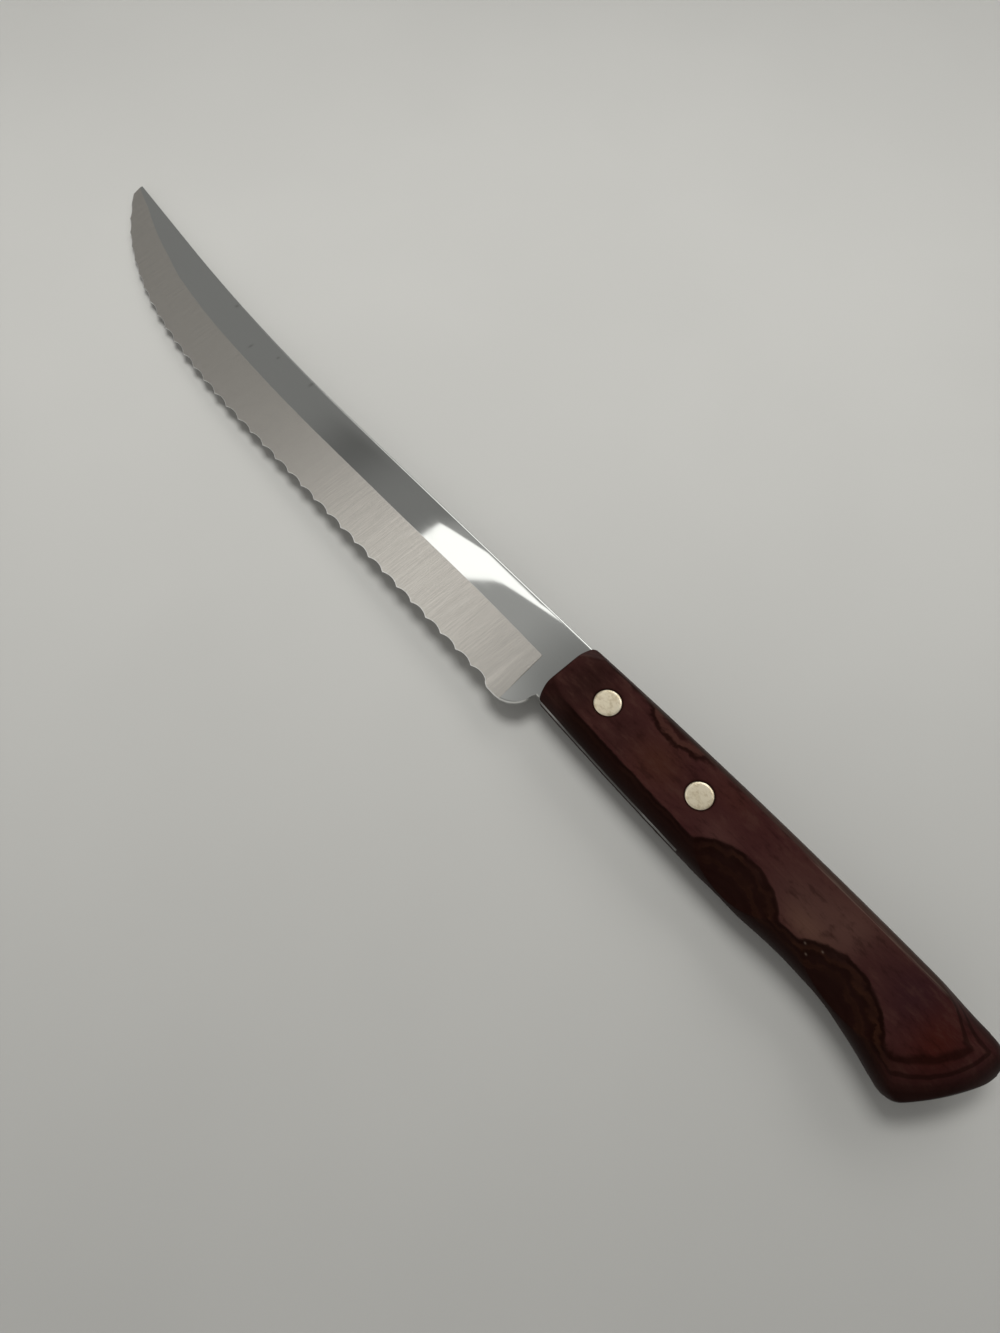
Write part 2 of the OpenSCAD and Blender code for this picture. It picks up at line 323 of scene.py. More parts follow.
def fromOutline(x, y):  # distance in from the outline, and how far its rounding has become the butt's
    start, run = outlinePoints[:-1], np.diff(outlinePoints, axis=0)
    length = (run ** 2).sum(1) + 1e-12
    distance, share = np.empty(len(x)), np.empty(len(x))
    for i in range(0, len(x), 2000):
        part = slice(i, i + 2000)
        ax, ay = x[part, None] - start[:, 0], y[part, None] - start[:, 1]
        t = np.clip((ax * run[:, 0] + ay * run[:, 1]) / length, 0, 1)
        away = np.hypot(ax - t * run[:, 0], ay - t * run[:, 1])
        best = away.argmin(1)
        rows = np.arange(len(best))
        distance[part] = away[rows, best]
        share[part] = outlineTurn[best] + t[rows, best] * (outlineTurn[best + 1] - outlineTurn[best])
    return distance, share


def frontInset(x):
    r = handleShape["frontRound"]
    into = np.clip(r - (frontX - x), 0.0, r)
    return r - np.sqrt(r * r - into * into)


def easedAt(x):  # where the upper face ends at the spine's eased edge
    px, reach = zip(*handleShape["easing"])
    return np.interp(x, outlineX, spineLine) + np.interp(x, px, reach)


def softNear(side):  # how soft a crease is, fading out at the outline
    h = handleShape
    return h["creaseSoft"] * np.minimum(1.0, side / h["softReach"]) + 1e-6


def handleFields(x, y):  # half thickness as the faces, the rounded sides and the scallops each allow it
    h = handleShape
    distance, share = fromOutline(x, y)
    inset = frontInset(x)
    reach = h["sideRadius"] + share * (h["endReach"] - h["sideRadius"])
    rise = h["sideRadius"] + share * (h["endRise"] - h["sideRadius"])
    out = np.clip((reach - np.maximum(distance - inset, 0.0)) / reach, 0.0, 1.0)
    side = rise * np.sqrt(1 - out * out)
    fromButt = h["buttRadius"] - np.hypot(x - h["butt"][0], y - h["butt"][1])
    out = np.clip(h["buttReach"] - fromButt, 0.0, h["buttReach"])
    dome = np.sqrt(h["buttReach"] ** 2 + h["buttLens"] ** 2 - out * out) - h["buttLens"]
    dome = np.where(x < h["butt"][0], dome, farAway)
    side = smoothLeast(side, dome, softNear(side))
    flat = midZ - inset
    for toward, slope, start, taper in h["facets"]:
        past = toward * y - start - taper * (frontX - x)
        flat = smoothLeast(flat, midZ - slope * past, h["facetSoft"])
    flat = smoothLeast(flat, midZ - h["easingSlope"] * (easedAt(x) - y), h["creaseSoft"])
    scallop = np.full_like(x, farAway)
    for centre in h["scallops"]:
        fromCentre = np.hypot(x - centre[0], y - centre[1])
        scallop = np.minimum(scallop, midZ + (fromCentre - h["scallopRadius"]) / h["scallopSlope"])
    return flat, side, scallop


def halfThickness(x, y):
    flat, side, scallop = handleFields(x, y)
    face = smoothLeast(flat, scallop, handleShape["creaseSoft"])
    return np.maximum(0.0, smoothLeast(face, side, softNear(side)))


def handleRows(x):  # y of every mesh row across one station, closest together at the creases
    inset = frontInset(np.array([x]))[0]
    low = np.interp(x, outlineX, spineLine) + inset
    high = np.interp(x, outlineX, bellyLine) - inset
    y = np.linspace(low, high, 500)[1:-1]
    flat, side, scallop = handleFields(np.full_like(y, x), y)
    least = np.minimum(np.minimum(flat, side), scallop)
    top = np.flatnonzero(flat <= least)
    cut = np.flatnonzero(scallop <= least)
    width = high - low
    if len(top):
        first, second = y[top[0]], y[top[-1]]
        third = y[cut[-1]] if len(cut) else second
    else:
        first = second = third = y[least.argmax()]
    slack = min(0.25, width / 40)
    first = np.clip(first, low + 4 * slack, high - 8 * slack)
    eased = np.clip(easedAt(x), first + 2 * slack, high - 6 * slack)
    second = np.clip(second, eased + 2 * slack, high - 4 * slack)
    third = np.clip(third, second + 2 * slack, high - 2 * slack)
    rounds = 1 - np.cos(np.linspace(0, math.pi / 2, 15))
    close = 1 - np.cos(np.linspace(0, math.pi, 17))
    few = 1 - np.cos(np.linspace(0, math.pi, 9))
    rows = [low + (first - low) * rounds, first + (eased - first) * few[1:] / 2,
            eased + (second - eased) * close[1:] / 2, second + (third - second) * close[1:] / 2,
            high - (high - third) * rounds[::-1][1:]]
    return np.concatenate(rows)


def handleBlank():
    h = handleShape
    ends = handleBack + h["buttRun"] * (1 - np.cos(np.linspace(0.02, math.pi / 2, h["buttStations"])))
    run = np.linspace(ends[-1], frontX - h["frontRound"], h["runStations"])[1:]
    nose = frontX - h["frontRound"] * (1 - np.sin(np.linspace(0, math.pi / 2, h["noseStations"])))[1:]
    stations = np.concatenate([ends, run, nose])
    rows = np.array([handleRows(x) for x in stations])
    count = rows.shape[1]
    xs = np.repeat(stations, count)
    ys = rows.ravel()
    half = halfThickness(xs, ys).reshape(rows.shape)
    half[:, 0] = half[:, -1] = 0.0
    points, upper, lower = [], np.zeros(rows.shape, int), np.zeros(rows.shape, int)
    for i, x in enumerate(stations):
        for j in range(count):
            upper[i, j] = len(points)
            points.append((x, rows[i, j], midZ + half[i, j]))
            lower[i, j] = upper[i, j]
            if 0 < j < count - 1:
                lower[i, j] = len(points)
                points.append((x, rows[i, j], midZ - half[i, j]))
    pole = len(points)
    points.append((buttX, np.mean(rows[0]), midZ))
    faces = []
    for i in range(len(stations) - 1):
        for j in range(count - 1):
            faces.append((upper[i, j], upper[i + 1, j], upper[i + 1, j + 1], upper[i, j + 1]))
            faces.append((lower[i, j], lower[i, j + 1], lower[i + 1, j + 1], lower[i + 1, j]))
    for j in range(count - 1):
        faces.append((upper[0, j], upper[0, j + 1], pole))
        faces.append((lower[0, j + 1], lower[0, j], pole))
        cap = (upper[-1, j], upper[-1, j + 1], lower[-1, j + 1], lower[-1, j])
        faces.append(tuple(dict.fromkeys(cap)))
    return addPiece("laminateHandle", points, faces)


def makeHandle():
    h = handleShape
    block = handleBlank()
    past = 5.0  # cutters end this far outside the block
    cutters = [addBox((h["kerfBack"], -besideHandle, midZ - h["kerf"] / 2),
                      (frontX + past, besideHandle, midZ + h["kerf"] / 2))]
    for x in rivetX:
        bore, head = h["bore"] / 2, h["headBore"] / 2
        profile = [(0, -past), (head, -past), (head, h["headDepth"]), (bore, h["headDepth"]),
                   (bore, faceZ - h["headDepth"]), (head, faceZ - h["headDepth"]), (head, faceZ + past),
                   (0, faceZ + past)]
        cutters.append(turned("cutBore", (x, 0.0), profile, h["boreSteps"]))
    cutOut(block, cutters)
    block.data.shade_smooth()
    block.data.set_sharp_from_angle(angle=math.radians(h["sharpAngle"]))
    return block


handle = makeHandle()
print("handle:", len(handle.data.polygons), "faces")


# blade and half tang: one steel stamping, ground on both sides
bladeShape = {
    "half": 0.75, "tangHalf": 0.8,     # half thickness of cheek and tang
    "edgeHalf": 0.13, "edgeY": 15.3,
    "shoulder": (frontX + 0.85, 8.75),
    "heelX": frontX + 1.3, "heelRadius": 6.3, "heelRise": 0.8, "heelEnd": (37.4, 39.6), "heelRound": 0.2,
    "spineStart": (frontX, -9.2), "spineRise": 1.15, "spineSweep": -5.15, "spineRadius": 727.0,
    "spineBendX": tipX - 108.7, "spineCorner": 0.15, "crown": 0.06, "crownReach": 4.0,
    "chamfer": (0.36, 0.27),            # the spine's broken edge: width and slope
    "edgeStartX": tipX - 88.5, "edgeHeadings": (0.0, -8.0, -24.0, -41.0), "edgeRadii": (270.0, 115.0, 72.0),
    "tipFlat": (0.3, 0.9),
    "grind": [(20, 1.05), (50, 0.9), (90, 1.75), (135, 2.5), (165, 1.75), (190, -0.7), (200, -3.0),
              (210, -5.6), (tipX, -12.6)],
    "plunge": (34.7, 1.0), "plungeLean": 5.3, "plungeRamp": 0.22,
    "leanIn": (-5.0, -0.8), "leanOut": (0.8, 3.4),  # where stations lean beside the plunge line
    "plungeSteps": (0.3, 0.12), "heelStep": 0.15, "heelStations": 30,
    "tangBack": frontX - tangLength, "tangStations": 60, "tangMark": -50.0, "sharpAngle": 28.0,
    "spineRows": (0.1, 0.21, 0.45, 0.8, 1.2, 1.7, 2.3, 3.0, 3.8),  # mesh rows in from the spine and the edge
    "edgeRows": (3.4, 2.8, 2.4, 2.1, 1.85, 1.6, 1.35, 1.1, 0.85, 0.6, 0.4, 0.2, 0.08, 0.0),
}
teeth = {"pitch": 5.6, "depth": 0.78, "firstX": 38.7, "reach": 3.0, "fineEdge": 0.08, "facetSlope": 0.36,
         "fade": 9, "leastFade": 0.45, "steps": 14}


def edgeAt(run):  # point and heading of the line of tooth tips, a run past the first gullet's start
    b = bladeShape
    start = np.array([b["edgeStartX"], b["edgeY"]])
    left = run - (b["edgeStartX"] - teeth["firstX"])
    if left <= 0:
        return np.array([teeth["firstX"] + run, b["edgeY"]]), 0.0
    for radius, h0, h1 in zip(b["edgeRadii"], b["edgeHeadings"], b["edgeHeadings"][1:]):
        h0, h1 = math.radians(h0), math.radians(h1)
        centre = start + radius * np.array([math.sin(h0), -math.cos(h0)])
        length = radius * (h0 - h1)
        heading = max(h1, h0 - left / radius)
        start = centre + radius * np.array([-math.sin(heading), math.cos(heading)])
        if left <= length:
            return start, heading
        left -= length
    return start + left * np.array([math.cos(heading), math.sin(heading)]), heading


def spineAt(x):
    b = bladeShape
    rise, sweep = math.radians(b["spineRise"]), math.radians(b["spineSweep"])
    bendY = b["spineStart"][1] + (b["spineBendX"] - b["spineStart"][0]) * math.tan(rise)
    centre = (b["spineBendX"] + b["spineRadius"] * math.sin(rise), bendY - b["spineRadius"] * math.cos(rise))
    endX = centre[0] - b["spineRadius"] * math.sin(sweep)
    if x <= b["spineBendX"]:
        return b["spineStart"][1] + (x - b["spineStart"][0]) * math.tan(rise)
    if x <= endX:
        return centre[1] + math.sqrt(b["spineRadius"] ** 2 - (x - centre[0]) ** 2)
    return centre[1] + b["spineRadius"] * math.cos(sweep) + (x - endX) * math.tan(sweep)


def bladeStations():  # x, spine y, edge y, heading of the edge, run along it, half thickness
    b = bladeShape
    found = []
    for x in np.linspace(b["tangBack"], frontX, b["tangStations"]):
        spineY = np.interp(x, outlineX, spineLine)
        bellyY = np.interp(x, outlineX, bellyLine)
        found.append((x, spineY, bellyY, 0.0, 0.0, b["tangHalf"]))
    found[-1] = (frontX, b["spineStart"][1], b["shoulder"][1], 0.0, 0.0, b["tangHalf"])
    for x in (frontX + 0.01, b["shoulder"][0]):
        found.append((x, spineAt(x), b["shoulder"][1], 0.0, 0.0, b["half"]))
    turns = np.linspace(0.02, 1.3, b["heelStations"])
    plunge, rampEnd = b["plunge"][0], b["plunge"][0] + b["plungeRamp"]
    far, near = b["plungeSteps"]
    ramp = [plunge - far, plunge - near, plunge, rampEnd, rampEnd + near]
    heel = list(b["heelX"] + b["heelRadius"] * (1 - np.cos(turns))) + ramp
    heel += list(np.arange(ramp[-1] + b["heelStep"], teeth["firstX"] - 0.05, b["heelStep"]))
    for x in heel:
        lean = leanAt(x)
        spineY = spineAt(x - lean * (b["spineStart"][1] - b["plunge"][1]))
        edgeY = b["edgeY"]
        for _ in range(8):
            edgeY = heelAt(x - lean * (edgeY - b["plunge"][1]))
        found.append((x, spineY, edgeY, 0.0, 0.0, b["half"]))
    run, step = 0.0, teeth["pitch"] / teeth["steps"]
    end = edgeRun()
    (endX, _), heading = edgeAt(end)
    last = math.floor((end + (tipX - endX) / math.cos(heading)) / teeth["pitch"]) * teeth["pitch"]
    while True:
        (x, y), heading = edgeAt(run)
        if x >= tipX - b["tipFlat"][0]:
            break
        rise = b["heelRise"] - lowered(x) if x < b["heelEnd"][1] else 0.0
        found.append((x, spineAt(x), y + rise, heading, min(run, last), b["half"]))
        run += step
    cornerX = tipX - b["tipFlat"][0]
    point, heading = edgeAt(end)
    cornerY = point[1] + (cornerX - point[0]) * math.tan(heading)
    found.append((cornerX, spineAt(cornerX), cornerY, heading, last, b["half"]))
    found.append((tipX, spineAt(tipX), cornerY - b["tipFlat"][1], heading, last, b["half"]))
    return found, last


def lowered(x):  # the smooth heel falls to the line of tooth tips
    b = bladeShape
    return b["heelRise"] * float(smoothStep(np.array(x), *b["heelEnd"]))


def heelAt(x):  # edge of the smooth heel
    b = bladeShape
    back = max(b["heelX"] + b["heelRadius"] - x, 0.0)
    fall = b["heelRadius"] - math.sqrt(max(b["heelRadius"] ** 2 - back ** 2, 0.0))
    return b["edgeY"] + b["heelRise"] - fall - lowered(x)


def leanAt(x):  # how much a station leans, in full beside the plunge line
    b = bladeShape
    past = np.array(x - b["plunge"][0])
    share = smoothStep(past, *b["leanIn"]) * (1 - smoothStep(past, *b["leanOut"]))
    return float(share) * math.tan(math.radians(b["plungeLean"]))


def edgeRun():  # length of the line of tooth tips to the end of its last arc
    b = bladeShape
    headings = b["edgeHeadings"]
    arcs = [r * math.radians(h0 - h1) for r, h0, h1 in zip(b["edgeRadii"], headings, headings[1:])]
    return b["edgeStartX"] - teeth["firstX"] + sum(arcs)


def bladeRows(spineY, grindY, edgeY):  # y of each row from spine to edge, and which row is the grind line
    b = bladeShape
    cheek, bevel = grindY - spineY, edgeY - grindY
    corner = b["spineCorner"] * min(1.0, cheek / 4)
    turns = np.linspace(math.pi / 2, 0, 5)
    rows = list(spineY + corner * (1 - np.sin(turns)))
    near = min(1.0, cheek / 6)
    rows += [spineY + corner + near * d for d in b["spineRows"]]
    rows += list(np.linspace(rows[-1], grindY, 6)[1:])
    grindRow = len(rows) - 1
    small = min(1.0, bevel / 6)
    insets = [small * d for d in b["edgeRows"]]
    rows += list(np.linspace(grindY, edgeY - insets[0], 7)[1:])
    rows += [edgeY - d for d in insets[1:]]
    return np.array(rows), grindRow


def makeBlade():
    b = bladeShape
    stations, lastRun = bladeStations()
    points, ground, runs, insets, slopes, inwards, sides = [], [], [], [], [], [], []
    upper, lower = [], []
    lean = math.tan(math.radians(b["plungeLean"]))
    for x, spineY, edgeY, heading, run, half in stations:
        grindY = float(smoothLine(b["grind"], x))
        grindY = min(max(grindY, spineY + 0.3 * (edgeY - spineY)), edgeY - 0.1)
        y, grindRow = bladeRows(spineY, grindY, edgeY)
        rowX = x - (y - b["plunge"][1]) * leanAt(x)
        past = rowX - (b["plunge"][0] - (y - b["plunge"][1]) * lean)
        bevelShare = smoothStep(past, 0.0, b["plungeRamp"])
        slope = (half - b["edgeHalf"]) / (edgeY - grindY)
        z = half - bevelShare * np.maximum(0.0, y - grindY) * slope
        corner = b["spineCorner"]
        into = np.clip(corner - (y - spineY), 0.0, corner)
        z = z - (corner - np.sqrt(np.maximum(corner ** 2 - into ** 2, 0.0)))
        if half == b["half"]:
            z = z - b["crown"] * np.clip(1 - (y - spineY) / b["crownReach"], 0, 1) ** 2
            z = z - b["chamfer"][1] * np.maximum(0.0, b["chamfer"][0] - (y - spineY))
        edgeRound = b["heelRound"] * (1 - bevelShare[-1])
        if edgeRound > 0.01:
            into = np.clip(edgeRound - (edgeY - y), 0.0, edgeRound)
            z = z - (edgeRound - np.sqrt(edgeRound ** 2 - into ** 2))
        for side, rows in ((1, upper), (-1, lower)):
            rows.append(list(range(len(points), len(points) + len(y))))
            for j in range(len(y)):
                points.append((rowX[j], y[j], midZ + side * z[j]))
                ground.append(min(y[j] - grindY, past[j]) if x > frontX else b["tangMark"])
                runs.append(run)
                insets.append((edgeY - y[j]) * math.cos(heading))
                slopes.append(slope / math.cos(heading) if bevelShare[j] > 0.5 else 0.0)
                inwards.append((math.sin(heading), -math.cos(heading), 0.0))
                sides.append(side)
    faces = []
    upper, lower = np.array(upper), np.array(lower)
    for i in range(len(stations) - 1):
        for j in range(upper.shape[1] - 1):
            faces.append((upper[i, j], upper[i + 1, j], upper[i + 1, j + 1], upper[i, j + 1]))
            faces.append((lower[i, j], lower[i, j + 1], lower[i + 1, j + 1], lower[i + 1, j]))
        for j in (0, -1):
            faces.append((upper[i, j], lower[i, j], lower[i + 1, j], upper[i + 1, j]))
    for i in (0, -1):
        for j in range(upper.shape[1] - 1):
            faces.append((upper[i, j], upper[i, j + 1], lower[i, j + 1], lower[i, j]))
    blade = addPiece("steelBlade", points, faces)
    mesh = blade.data
    for name, values, scale in (("ground", ground, 1.0), ("run", runs, mm), ("inset", insets, mm),
                                ("slope", slopes, 1.0), ("side", sides, 1.0)):
        layer = mesh.attributes.new(name, "FLOAT", "POINT")
        layer.data.foreach_set("value", np.array(values, np.float32) * scale)
    layer = mesh.attributes.new("inward", "FLOAT_VECTOR", "POINT")
    layer.data.foreach_set("vector", np.array(inwards, np.float32).ravel())
    mesh.shade_smooth()
    mesh.set_sharp_from_angle(angle=math.radians(b["sharpAngle"]))
    column = [station[0] for station in stations]
    starts = [column.index(b["plunge"][0]), column.index(b["plunge"][0] + b["plungeRamp"])]
    creases = [set(rows[starts[0]:, grindRow]) for rows in (upper, lower)]
    creases += [set(rows[i, grindRow:]) for rows in (upper, lower) for i in starts]
    for edge in mesh.edges:
        first, second = edge.vertices
        if any(first in crease and second in crease for crease in creases):
            edge.use_edge_sharp = True
    return blade, lastRun * mm


# the gullets, ground into the edge of a blade that carries its run, inset, slope, side and inward
def toothTree(material):
    tree = bpy.data.node_groups.new("grind teeth", "GeometryNodeTree")
    net = Net(tree)
    tree.interface.new_socket("Geometry", in_out="INPUT", socket_type="NodeSocketGeometry")
    names = ("Pitch", "Depth", "Reach", "Edge Half", "Fine Edge", "Facet Slope", "Fade From", "Fade To",
             "Least Fade")
    for name in names:
        tree.interface.new_socket(name, in_out="INPUT", socket_type="NodeSocketFloat")
    tree.interface.new_socket("Geometry", in_out="OUTPUT", socket_type="NodeSocketGeometry")
    entry = tree.nodes.new("NodeGroupInput")
    size = {socket.name: Wire(net, socket) for socket in entry.outputs if socket.name}

    def carried(name, kind="FLOAT"):
        return net.node("GeometryNodeInputNamedAttribute", {"data_type": kind}, {"Name": name})

    run, inset, slope, side = (carried(name) for name in ("run", "inset", "slope", "side"))
    across = (run / size["Pitch"]).math("FRACT") * 2 - 1
    fade = ((size["Fade To"] - run) / (size["Fade To"] - size["Fade From"])).math("MINIMUM", 1.0)
    share = (1 - across * across) * fade.math("MAXIMUM", size["Least Fade"])
    gullet = share * size["Depth"]
    move = gullet * (1 - inset / size["Reach"]).math("MAXIMUM", 0.0)
    thin = size["Edge Half"] * 2 - (size["Edge Half"] * 2 - size["Fine Edge"]) * share
    under = -(size["Edge Half"] + (inset + move) * slope)
    facet = size["Edge Half"] + gullet * slope - thin - (inset + move - gullet) * size["Facet Slope"]
    lift = under.math("MAXIMUM", facet) + size["Edge Half"] + inset * slope
    isUnder = side.math("LESS_THAN", 0.0)
    toothed = slope.math("GREATER_THAN", 0.001)
    rise = (isUnder * lift + (1 - isUnder) * move * slope) * toothed
    push = net.node("ShaderNodeVectorMath", {"operation": "SCALE"},
                    {0: carried("inward", "FLOAT_VECTOR"), "Scale": move * toothed})
    up = net.node("ShaderNodeCombineXYZ", {}, {"Z": rise})
    offset = net.node("ShaderNodeVectorMath", {"operation": "ADD"}, [push, up])
    cut = net.node("GeometryNodeSetPosition", {}, {"Geometry": size["Geometry"], "Offset": offset})
    real = net.node("GeometryNodeRealizeInstances", {}, {"Geometry": cut})
    painted = net.node("GeometryNodeSetMaterial", {}, {"Geometry": real, "Material": material})
    net.node("NodeGroupOutput", {}, {"Geometry": painted})
    return tree


def addTree(piece, tree, values):
    grown = piece.modifiers.new(tree.name, "NODES")
    grown.node_group = tree
    for item in tree.interface.items_tree:
        if item.in_out == "INPUT" and item.name in values:
            grown[item.identifier] = values[item.name]
    bakeModifiers(piece)


# steel: polished cheeks, satin bevels
steelFinish = {
    "cheek": (0.583, 0.600, 0.588), "cheekDull": (0.50, 0.505, 0.505),
    "bevel": (0.685, 0.660, 0.615), "bevelDark": (0.590, 0.569, 0.533),
    # edge is a painted highlight: steel lightened along the fine edge where it would catch the light
    "edge": (0.86, 0.86, 0.84), "tang": (0.05, 0.045, 0.04), "nick": (0.2, 0.2, 0.19),
    "cheekRough": 0.03, "bevelRough": 0.24, "bump": 0.02,
    "bevelFrom": (-0.02, 0.03), "edgeHighlightReach": (0.1, 0.32), "tangBelow": (-45.0, -30.0),
    "nicks": [((135.3, -6.0), (0.45, 0.9)), ((148.6, -4.7), (0.35, 0.5)), ((156.9, -1.5), (0.35, 0.8)),
              ((171.2, -6.9), (0.5, 0.6))],
}


def makeSteel():
    f = steelFinish
    material, net = startMaterial("ground steel")
    place = net.place()
    ground = net.node("ShaderNodeAttribute", {"attribute_name": "ground"}, {}, "Fac")
    bevel = ground.rise(*f["bevelFrom"])
    tang = 1 - ground.rise(*f["tangBelow"])
    streaks = net.noise(place, (3.2, 0.11, 0.3), 4.0, 0.6)
    fine = net.noise(place, (9.0, 0.2, 0.5), 2.0, 0.5)
    smudge = net.noise(place, (0.06, 0.12, 0.1), 3.0, 0.55)
    polish = net.noise(place, (0.25, 5.0, 2.0), 3.0, 0.6)
    cheekTone = net.mix(polish * 0.25 + smudge * 0.2, f["cheek"], f["cheekDull"])
    grain = streaks.rise(0.32, 0.68) * 0.45 + fine.rise(0.3, 0.7) * 0.3 + polish.rise(0.3, 0.7) * 0.25
    bevelTone = net.mix(grain, f["bevel"], f["bevelDark"])
    x, y, _ = net.split(place)
    for centre, reach in f["nicks"]:
        cheekTone = net.mix(net.spot(x, y, centre, reach) * 0.4, cheekTone, f["nick"])
    tone = net.mix(bevel, cheekTone, bevelTone)
    inset = net.node("ShaderNodeAttribute", {"attribute_name": "inset"}, {}, "Fac") / mm
    # painted highlight: the steel is lightened along the fine edge of the heel and the teeth
    tone = net.mix((1 - inset.rise(*f["edgeHighlightReach"])) * 0.8, tone, f["edge"])
    tone = net.mix(tang * (0.55 + smudge.rise(0.4, 0.6) * 0.4), tone, f["tang"])
    rough = (f["cheekRough"] + smudge.rise(0.45, 0.75) * 0.025 + tang * 0.35) * (1 - bevel)
    rough = rough + (f["bevelRough"] + (streaks - 0.5) * 0.10) * bevel
    height = (streaks * 0.6 + fine * 0.4) * bevel + polish * 0.04 * (1 - bevel)
    bump = net.bump(f["bump"], height)
    endMaterial(net, {"Base Color": tone, "Metallic": 1.0, "Roughness": rough, "Normal": bump})
    return material


steel = makeSteel()
blade, lastRun = makeBlade()
addTree(blade, toothTree(steel), {
    "Pitch": teeth["pitch"] * mm, "Depth": teeth["depth"] * mm, "Reach": teeth["reach"] * mm,
    "Edge Half": bladeShape["edgeHalf"] * mm, "Fine Edge": teeth["fineEdge"] * mm,
    "Facet Slope": teeth["facetSlope"], "Fade From": lastRun - teeth["fade"] * teeth["pitch"] * mm,
    "Fade To": lastRun, "Least Fade": teeth["leastFade"],
})
print("blade:", len(blade.data.polygons), "faces")


# cutler's rivets: a tubular half over a pin half, two of them along the handle
rivetShape = {
    "head": 3.2, "headDepth": 1.4, "dome": 0.04, "round": 0.06, "chamfer": (0.5, 0.13),
    "tube": 2.0, "bore": 1.31, "tubeEnd": 3.0, "boreTop": 12.0, "pin": 1.29, "pinTop": 11.0,
    "steps": 72, "sharpAngle": 40.0, "turn": 2.1,  # from one rivet to the next
}


def makeRivet():
    r = rivetShape
    across, down = r["chamfer"]
    rim = [(r["head"] - r["round"] * (1 - math.cos(a)), down + r["round"] * (1 - math.sin(a)))
           for a in np.linspace(0, math.pi / 2, 5)]
    rim += [(r["head"] - s * across, down * (1 - s) ** 1.3) for s in (0.3, 0.5, 0.7, 0.85)]
    crown = [(s * (r["head"] - across), -r["dome"] * (1 - s * s)) for s in (1.0, 0.85, 0.65, 0.4, 0.2, 0.0)]
    face = [(radius, faceZ - drop - r["dome"] * 0.5) for radius, drop in rim + crown]
    under = faceZ - r["headDepth"]
    tube = [(0, r["boreTop"]), (r["bore"], r["boreTop"]), (r["bore"], r["tubeEnd"]),
            (r["tube"], r["tubeEnd"]), (r["tube"], under), (r["head"], under), *face]
    pin = [(0, r["pinTop"]), (r["pin"], r["pinTop"]), (r["pin"], faceZ - under), (r["head"], faceZ - under),
           *[(radius, faceZ - z) for radius, z in face]]
    upper = turned("cutlerRivets", (0.0, 0.0), tube, r["steps"])
    lower = turned("pinHalf", (0.0, 0.0), pin, r["steps"])
    shape = bmesh.new()
    shape.from_mesh(upper.data)
    shape.from_mesh(lower.data)
    shape.to_mesh(upper.data)
    shape.free()
    bpy.data.objects.remove(lower)
    upper.data.shade_smooth()
    upper.data.set_sharp_from_angle(angle=math.radians(r["sharpAngle"]))
    return upper


def rivetTree(material):
    tree = bpy.data.node_groups.new("set rivets", "GeometryNodeTree")
    net = Net(tree)
    tree.interface.new_socket("Geometry", in_out="INPUT", socket_type="NodeSocketGeometry")
    for name in ("First", "Spacing"):
        tree.interface.new_socket(name, in_out="INPUT", socket_type="NodeSocketFloat")
    tree.interface.new_socket("Count", in_out="INPUT", socket_type="NodeSocketInt")
    tree.interface.new_socket("Geometry", in_out="OUTPUT", socket_type="NodeSocketGeometry")
    entry = tree.nodes.new("NodeGroupInput")
    size = {socket.name: Wire(net, socket) for socket in entry.outputs if socket.name}
    start = net.node("ShaderNodeCombineXYZ", {}, {"X": size["First"]})
    step = net.node("ShaderNodeCombineXYZ", {}, {"X": -size["Spacing"]})
    line = net.node("GeometryNodeMeshLine", {"mode": "OFFSET"},
                    {"Count": size["Count"], "Start Location": start, "Offset": step})
    index = net.node("GeometryNodeInputIndex", {}, {})
    turn = net.node("ShaderNodeCombineXYZ", {}, {"Z": index * rivetShape["turn"]})
    placed = net.node("GeometryNodeInstanceOnPoints", {},
                      {"Points": line, "Instance": size["Geometry"], "Rotation": turn})
    real = net.node("GeometryNodeRealizeInstances", {}, {"Geometry": placed})
    painted = net.node("GeometryNodeSetMaterial", {}, {"Geometry": real, "Material": material})
    net.node("NodeGroupOutput", {}, {"Geometry": painted})
    return tree


nickelFinish = {
    "bright": (0.93, 0.84, 0.65), "dull": (0.70, 0.60, 0.41), "scratch": (0.86, 0.82, 0.70),
    "rough": 0.34, "metal": 0.82, "bump": 0.03,
}


def makeNickel():
    f = nickelFinish
    material, net = startMaterial("nickel silver")
    place = net.place()
    blotch = net.noise(place, (0.55, 0.75, 0.4), 4.0, 0.6)
    scratch = net.noise(place, (0.5, 6.0, 1.0), 3.0, 0.6)
    tone = net.mix(blotch.rise(0.42, 0.68), f["bright"], f["dull"])
    tone = net.mix(scratch.rise(0.55, 0.8) * 0.35, tone, f["scratch"])
    rough = f["rough"] + (blotch - 0.5) * 0.25
    bump = net.bump(f["bump"], scratch + blotch)
    endMaterial(net, {"Base Color": tone, "Metallic": f["metal"], "Roughness": rough, "Normal": bump})
    return material


rivets = makeRivet()
addTree(rivets, rivetTree(makeNickel()),
        {"First": rivetX[0] * mm, "Spacing": (rivetX[0] - rivetX[1]) * mm, "Count": len(rivetX)})
print("rivets:", len(rivets.data.polygons), "faces")


